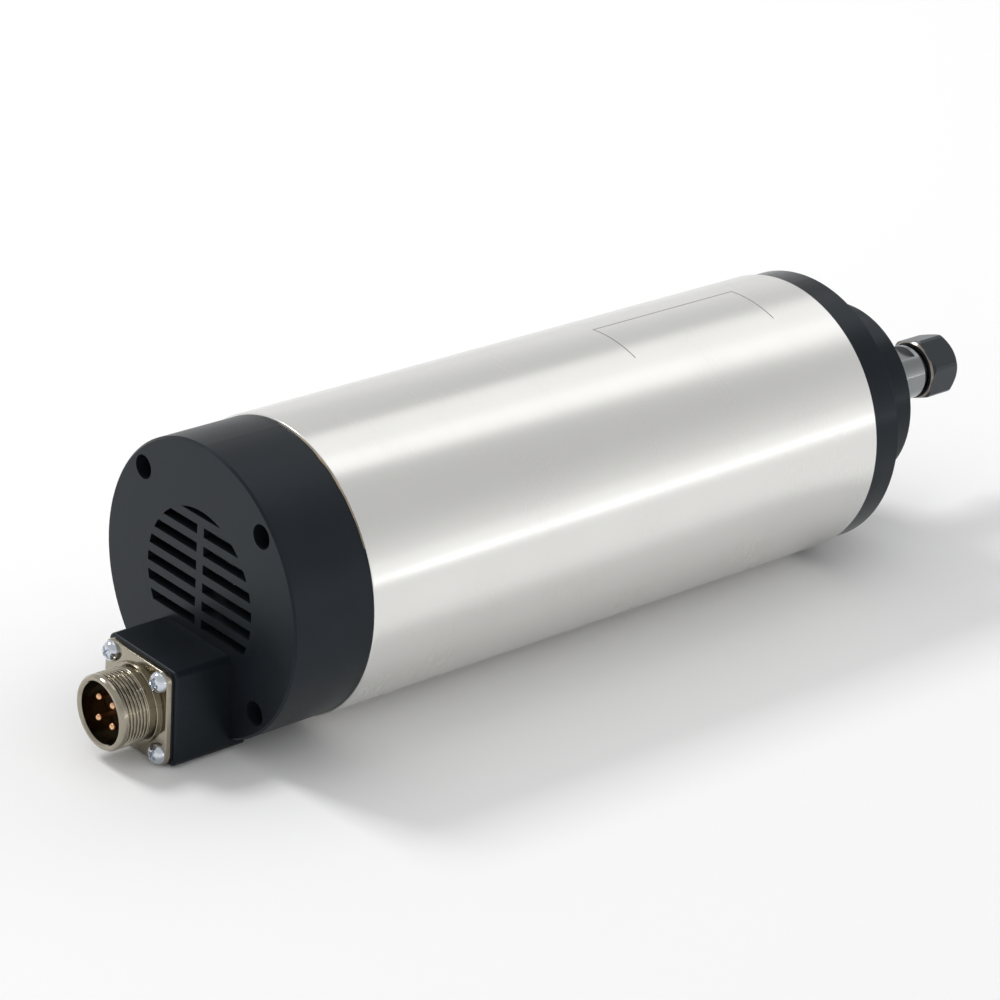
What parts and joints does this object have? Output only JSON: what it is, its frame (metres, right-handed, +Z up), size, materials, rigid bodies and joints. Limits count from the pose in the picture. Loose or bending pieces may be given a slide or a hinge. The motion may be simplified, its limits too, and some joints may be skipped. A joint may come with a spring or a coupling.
{
  "type": "motor spindle",
  "caption": "Round air-cooled motor spindle with a stainless clamp body, collet chuck, finned inner housing, fan and a threaded power inlet.",
  "frame": {"origin": "on the spindle axis, halfway along the stainless body that the clamp grips", "axes": "+X along the spindle axis from the rear cap to the collet, +Z up, connector block on the -Z side of the rear cap"},
  "size_m": [0.3024, 0.08, 0.08],
  "materials": {
    "stainless": "satin brushed",
    "black_anodised": "satin black anodised",
    "black_plastic": "moulded matte black",
    "cast_aluminium": "machined",
    "electrical_steel": "laminated",
    "winding": "lacquered copper",
    "slot_paper": "matte",
    "ground_steel": "ground",
    "bearing_steel": "polished",
    "cage_resin": "moulded",
    "brass": "turned",
    "spring_steel": "oiled",
    "black_oxide": "black oxide",
    "fan_plastic": "moulded",
    "zinc": "zinc plated",
    "nickel": "nickel plated",
    "insulator": "moulded",
    "pin_copper": "plated",
    "rubber": "matte",
    "lead_insulation": "satin"
  },
  "bodies": {
    "root": {"body_tube": "stainless", "front_flange": "black_anodised", "nose_cap": "black_anodised", "rear_cap": "black_plastic", "stator_housing": "cast_aluminium", "rear_bell": "cast_aluminium", "stator_core": "electrical_steel", "stator_winding": "winding", "slot_wedges": "slot_paper", "front_outer_spacer": "ground_steel", "front_bearing_a_outer_ring": "bearing_steel", "front_bearing_b_outer_ring": "bearing_steel", "rear_bearing_a_outer_ring": "bearing_steel", "rear_bearing_b_outer_ring": "bearing_steel", "preload_spring": "spring_steel", "bell_retaining_ring": "spring_steel", "flange_screws": "black_oxide", "nose_cap_screws": "black_oxide", "cap_screws": "black_oxide", "connector_screws": "zinc", "connector_shell": "nickel", "connector_insulator": "insulator", "connector_pins": "pin_copper", "connector_gasket": "rubber", "motor_leads": "lead_insulation"},
    "rotor": {"shaft": "ground_steel", "rotor_core": "electrical_steel", "rotor_cage": "cast_aluminium", "balance_ring_front": "brass", "balance_ring_rear": "brass", "front_inner_spacer": "ground_steel", "bearing_lock_nut": "ground_steel", "labyrinth_ring": "ground_steel", "shaft_retaining_ring": "spring_steel", "fan": "fan_plastic", "fan_screw": "zinc", "front_bearing_a_inner_ring": "bearing_steel", "front_bearing_b_inner_ring": "bearing_steel", "rear_bearing_a_inner_ring": "bearing_steel", "rear_bearing_b_inner_ring": "bearing_steel"},
    "collet": {"collet": "ground_steel"},
    "nut": {"collet_nut": "black_oxide"},
    "front_cage_a": {"front_bearing_a_cage": "cage_resin", "front_bearing_a_balls": "bearing_steel"},
    "front_cage_b": {"front_bearing_b_cage": "cage_resin", "front_bearing_b_balls": "bearing_steel"},
    "rear_cage_a": {"rear_bearing_a_cage": "cage_resin", "rear_bearing_a_balls": "bearing_steel"},
    "rear_cage_b": {"rear_bearing_b_cage": "cage_resin", "rear_bearing_b_balls": "bearing_steel"}
  },
  "joints": [
    {"name": "rotor_spin", "type": "hinge", "parent": "root", "child": "rotor", "pos_m": [0, 0, 0], "axis": [1, 0, 0], "continuous": true},
    {"name": "collet_slide", "type": "slide", "parent": "rotor", "child": "collet", "axis": [1, 0, 0], "range_m": [0, 0.00225]},
    {"name": "nut_turn", "type": "hinge", "parent": "collet", "child": "nut", "pos_m": [0.15215, 0, 0], "axis": [1, 0, 0], "range_deg": [0, 1080]},
    {"name": "front_cage_a_spin", "type": "hinge", "parent": "root", "child": "front_cage_a", "pos_m": [0.087, 0, 0], "axis": [1, 0, 0], "continuous": true},
    {"name": "front_cage_b_spin", "type": "hinge", "parent": "root", "child": "front_cage_b", "pos_m": [0.101, 0, 0], "axis": [1, 0, 0], "continuous": true},
    {"name": "rear_cage_a_spin", "type": "hinge", "parent": "root", "child": "rear_cage_a", "pos_m": [-0.079, 0, 0], "axis": [1, 0, 0], "continuous": true},
    {"name": "rear_cage_b_spin", "type": "hinge", "parent": "root", "child": "rear_cage_b", "pos_m": [-0.07, 0, 0], "axis": [1, 0, 0], "continuous": true}
  ],
  "couplings": [
    {"joint": "nut_turn", "follows": "collet_slide", "rad_per_m": 8377.6},
    {"joint": "front_cage_a_spin", "follows": "rotor_spin", "ratio": 0.4085},
    {"joint": "front_cage_b_spin", "follows": "rotor_spin", "ratio": 0.4085},
    {"joint": "rear_cage_a_spin", "follows": "rotor_spin", "ratio": 0.4064},
    {"joint": "rear_cage_b_spin", "follows": "rotor_spin", "ratio": 0.4064}
  ]
}
